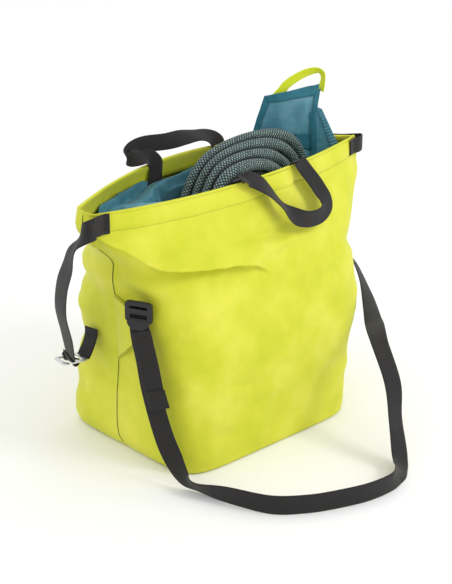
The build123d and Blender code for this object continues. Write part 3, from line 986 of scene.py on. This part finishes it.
def rope_route():
    """Control points for the whole rope, turn by turn."""
    places = strand_places()
    points = []
    for turn, (outward, across) in enumerate(places):
        following = places[min(turn + 1, len(places) - 1)]
        for step in range(POINTS_PER_TURN):
            f = step / POINTS_PER_TURN
            change = smooth_step(0.7, 1, f)
            a = outward + (following[0] - outward) * change
            b = across + (following[1] - across) * change
            angle = -pi / 2 + tau * f
            c, s = cos(angle), sin(angle)
            a += 0.8 * sin(3 * angle + turn * 1.7)
            high = max(s, 0)
            right = high * max(c, 0)
            power = 0.72 - 0.1 * high + 0.25 * right
            x = (ROPE_HALF_WIDE + a + 1.2 * b * high + 26 * right) * abs(c) ** power * (1 if c > 0 else -1)
            z = (ROPE_HALF_TALL + a + 0.3 * b * high) * abs(s) ** power * (1 if s > 0 else -1)
            y = b + 0.9 * sin(2 * angle + turn * 0.6) - 14 * high * max(c, 0) * (0.5 + b / 52)
            points.append(ROPE_CENTRE + Vector((x + 1.05 * b * high, y, z)))
    return points


def nurbs_line(name, points):
    """The smooth line of a NURBS spline with these control points, in millimetres."""
    curve = bpy.data.curves.new(name, "CURVE")
    curve.dimensions = "3D"
    curve.resolution_u = 8
    spline = curve.splines.new("NURBS")
    spline.points.add(len(points) - 1)
    for point, place in zip(spline.points, points):
        point.co = (*(place * MM), 1)
    spline.order_u = 3
    spline.use_endpoint_u = True
    holder = new_object(name, curve)
    mesh = bpy.data.meshes.new_from_object(holder)
    line = [v.co / MM for v in mesh.vertices]
    bpy.data.objects.remove(holder)
    return line


# The painted groove shade is full nearer than GROOVE_IN to another turn's middle line, and gone beyond
# GROOVE_OUT
GROOVE_IN, GROOVE_OUT = 8.6, 13.2     # distances to the next turn's middle line


def paint_groove_shade(mesh, line, sides):
    """Paints shade into the groove between two turns of the rope: marks how deep each point of the tube lies
    in that groove.
    """
    tree = KDTree(len(line))
    for i, spot in enumerate(line):
        tree.insert(spot, i)
    tree.balance()
    mark = mesh.attributes.new("painted_groove_shade", "FLOAT", "POINT")
    for index, vertex in enumerate(mesh.vertices):
        own = line[index // sides]
        near = [gap for spot, _, gap in tree.find_range(vertex.co / MM, GROOVE_OUT)
                if (spot - own).length > ROPE_THICK * 0.8]
        mark.data[index].value = 1 - smooth_step(GROOVE_IN, GROOVE_OUT, min(near, default=GROOVE_OUT))


def rope_tube(name, line, body, sides=12):
    """A tube along the line; its braid runs in U round it and V along it."""
    verts, uvs = [], []
    run = run_lengths(line)
    normal = Vector((0, 1, 0))
    last = len(line) - 1
    for i, spot in enumerate(line):
        ahead = (line[min(i + 1, last)] - line[max(i - 1, 0)]).normalized()
        normal = (normal - ahead * normal.dot(ahead)).normalized()
        side = ahead.cross(normal)
        for k in range(sides):
            turn = tau * k / sides
            verts.append(spot + (normal * cos(turn) + side * sin(turn)) * ROPE_THICK / 2)
            uvs.append((k / sides, run[i]))
    made = piece(name, verts, capped_tube(len(line), sides), ROPE, body, uvs)
    # Painted shade for the grooves between turns, kept on the mesh for the rope's material
    paint_groove_shade(made.data, line, sides)
    # The last column of faces ends at a full turn, not back at zero
    layer = made.data.uv_layers["mm"]
    for polygon in made.data.polygons:
        us = [layer.data[loop].uv[0] for loop in polygon.loop_indices]
        if max(us) - min(us) > 0.5:
            for loop in polygon.loop_indices:
                if layer.data[loop].uv[0] < 0.5:
                    layer.data[loop].uv[0] += 1
    return made, run[-1]


rope_line = nurbs_line("rope_line", rope_route())
rope, rope_length = rope_tube("climbing_rope", rope_line, "rope")
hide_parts("rope_coil")


# ---- tarp

FLAP_AT = Vector((80, 20, 0))
FLAP_WIDE = Vector((0.84, -0.5426, 0))
FLAP_OUT = Vector((-0.5426, -0.84, 0))


def flap_spot(d, z, lift=0):
    """A point of the standing corner, d along the plane, with its soft swells."""
    swell = 2.2 * sin(d * 0.045 + 0.6) * smooth_step(330, 400, z) - 1.2 * sin(z * 0.07 + d * 0.03)
    swell -= 3.5 * exp(-((d - 58) / 9) ** 2 - ((z - 374) / 14) ** 2)
    swell += 2 * exp(-((d - 40) / 8) ** 2 - ((z - 380) / 20) ** 2)
    ridge = 1.4 * exp(-(((d - 70 - (z - 370) * 0.3) / 6) ** 2)) - 1.6 * exp(-(((d - 78) / 4) ** 2))
    crumple = 0.9 * noise.fractal(Vector((d * 0.05, z * 0.05, 3)), 1, 2, 3)
    return FLAP_AT + FLAP_WIDE * d + UP * z + FLAP_OUT * (swell + ridge + crumple + lift)


def flap_piece(name, corners, material, rows=60, columns=60, lift=0, ruffle=0):
    """A four-sided patch of the flap's plane: low left, low right, high right, high left.

    ruffle is how far its small waves, from its low edge to its high one, stand out."""
    low_left, low_right, high_right, high_left = (Vector((*corner, 0)) for corner in corners)

    def at(r, c):
        left, right = low_left.lerp(high_left, r / rows), low_right.lerp(high_right, r / rows)
        place = left.lerp(right, c / columns)
        return flap_spot(place.x, place.y, lift + ruffle * sin(r / rows * 85)), (place.x, place.y)

    return thicken(surface(name, rows, columns, at, material, "tarp"), 0.5, 0)


def flap_thread(name, ends, lift):
    """Thread along straight lines of the flap."""
    spots = []
    for (d0, z0), (d1, z1) in zip(ends, ends[1:]):
        for i in range(21):
            f = i / 20
            spots.append((flap_spot(d0 + (d1 - d0) * f, z0 + (z1 - z0) * f, lift), FLAP_OUT))
    return stitches(name, spots, "tarp", TEAL_THREAD, 3, 2, 0.28)


# Each patch of the flap: its corners, material, rows, columns, lift and ruffle
FLAP = {
    "corner_sheet": ([(-4, 324), (85, 300), (91, 414), (20, 403.5)], TARP),
    "corner_left_hem": ([(-4, 324), (3, 322), (26, 395), (20, 404)], TARP_HEM, 50, 8, 0.8),
    "corner_top_hem": ([(26, 395), (84.5, 400), (91.5, 414.5), (20, 404)], TARP_HEM, 8, 50, 1),
    "corner_fold_top": ([(82, 375), (87.5, 378), (92.6, 409), (84.5, 402)], TARP_HEM, 30, 8, 1.6),
    "corner_fold": ([(82.5, 300), (89.5, 300), (87.5, 379), (79.5, 377)], TARP_HEM, 40, 8, 1.4),
    "second_sheet": ([(87, 302), (119, 328), (94, 382), (86.5, 386)], TARP, 40, 30, 0.2),
    "second_hem": ([(109, 325), (119.5, 328), (94.5, 382.5), (89, 380)], TARP, 90, 8, 1.1, 0.7),
    # The pocket patch is painted shade: dark hem fabric laid where the tarp folds in behind the rope
    "pocket_painted_shade": ([(66, 333), (81, 328), (80.5, 350), (60, 351.5)], TARP_HEM, 20, 16, 0.9),
}
flap_pieces = [flap_piece("tarp_" + name, *how) for name, how in FLAP.items()]
flap_pieces += [
    flap_thread("tarp_top_hem_thread", [(6, 335), (26.5, 394.5), (83, 399.5)], 1.5),
    flap_thread("tarp_second_hem_thread", [(109.5, 335.5), (90, 379)], 1.9),
]
for made in flap_pieces:
    made.parent = None
    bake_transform(made)
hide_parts("tarp_corner")

# The pull loop's places on the flap's plane, and how far its width turns out of that plane
PULL = [(35, 399, 0), (42, 406, 0), (50, 415.5, 0.05), (62, 423.5, 0.15), (75, 429.5, 0.3), (87, 431.5, 0.6),
        (94, 428.5, 1), (96, 421, 1.3), (95, 413, 1.2), (93, 405, 1)]
pull_stations = []
for i, (d, z, turned) in enumerate(PULL):
    before, after = PULL[max(i - 1, 0)], PULL[min(i + 1, len(PULL) - 1)]
    step = Vector((after[0] - before[0], after[1] - before[1])).normalized()
    across = FLAP_WIDE * -step.y + UP * step.x
    spot = FLAP_AT + FLAP_WIDE * d + UP * z - FLAP_OUT * 3
    pull_stations.append((spot, across * cos(turned) + FLAP_OUT * sin(turned)))
node_webbing("pull_loop", pull_stations, "pull_loop", material=LIME_WEB, slot="pull_webbing", width=11.5,
             thick=1.4, count=90)


def tarp_height(x, y):
    """The top of the folded bundle: a flat fold in front, and darker layers behind it."""
    edge = y + 0.55 * (x + 130) + 21 + 2.5 * sin(x * 0.06)
    front_fold = (1 - smooth_step(-6, 2, edge)) * smooth_step(-190, -150, x)
    lean = y - 0.28 * x + 7 * noise.noise(Vector((x * 0.016, y * 0.02, 1)))
    layer = (lean / 27) % 1
    layers = 14 * (1 - layer) ** 0.8 * smooth_step(0, 0.2, layer)
    rise = 15 * smooth_step(-25, 24, y)
    soft = 2.4 * noise.fractal(Vector((x * 0.025, y * 0.04, 7)), 1, 2, 3)
    return 300 + rise + soft + layers * (1 - front_fold) + 27 * front_fold


BUNDLE_LEFT, BUNDLE_LONG = -184, 288
BUNDLE_TOP = 327      # the height where the bundle's cover is kept inside the shell


def tarp_bundle():
    """The folded tarp: a crumpled cover over the bundle, from its top edge down its sides."""
    rows, columns = 110, 170

    def at(r, c):
        f, g = r / rows, c / columns
        x = BUNDLE_LEFT + BUNDLE_LONG * g
        front, back = (shell_spot(side, along_at(side, x, BUNDLE_TOP), BUNDLE_TOP, -7)[0].y
                       for side in (FRONT, BACK)) if x > -178 else (-44, -30)
        near = front if x < -96 else front + (14 - front) * smooth_step(-96, -78, x)
        y = near + (back - near) * smooth_step(0.1, 0.9, f) if back > near else near
        drop = max(1 - min(f, 1 - f) / 0.1, 0) + max(1 - g / 0.05, 0)
        return (x, y, tarp_height(x, y) - 22 * min(drop, 1)), (x, f * 120)

    made = surface("tarp_bundle", rows, columns, at, TARP, "tarp", ["tarp"])
    thicken(made, 0.8, 0)


tarp_bundle()


# ---- stage, light and camera

floor_mesh = bpy.data.meshes.new("floor")
floor_mesh.from_pydata([(-6, -6, 0), (6, -6, 0), (6, 6, 0), (-6, 6, 0)], [], [(0, 1, 2, 3)])
floor_mesh.materials.append(new_material("floor", (0.97, 0.97, 0.97), 0.9)[0])
new_object("floor", floor_mesh)

world = bpy.data.worlds.new("studio")
world.use_nodes = True
background = world.node_tree.nodes["Background"]
background.inputs["Color"].default_value = (1, 1, 1, 1)
background.inputs["Strength"].default_value = 1
bpy.context.scene.world = world

KEY_AT, KEY_TARGET = Vector((0.8, -1.8, 1.7)), Vector((0, 0, 0.15))
light = bpy.data.lights.new("key", "AREA")
light.shape = "DISK"
light.size = 0.8
light.energy = 15
key = new_object("key", light)
key.location = KEY_AT
key.rotation_euler = (KEY_TARGET - KEY_AT).to_track_quat("-Z", "Y").to_euler()
bpy.context.scene.view_settings.view_transform = "Standard"

CAMERA_AT = (-1.4084, -1.5381, 1.0649)
CAMERA_TURN, CAMERA_DROP = -42.96, 23.27
camera_data = bpy.data.cameras.new("camera")
camera_data.lens = 110.96
camera = new_object("camera", camera_data)
camera.location = CAMERA_AT
camera.rotation_euler = (radians(90 - CAMERA_DROP), 0, radians(CAMERA_TURN))
bpy.context.scene.camera = camera
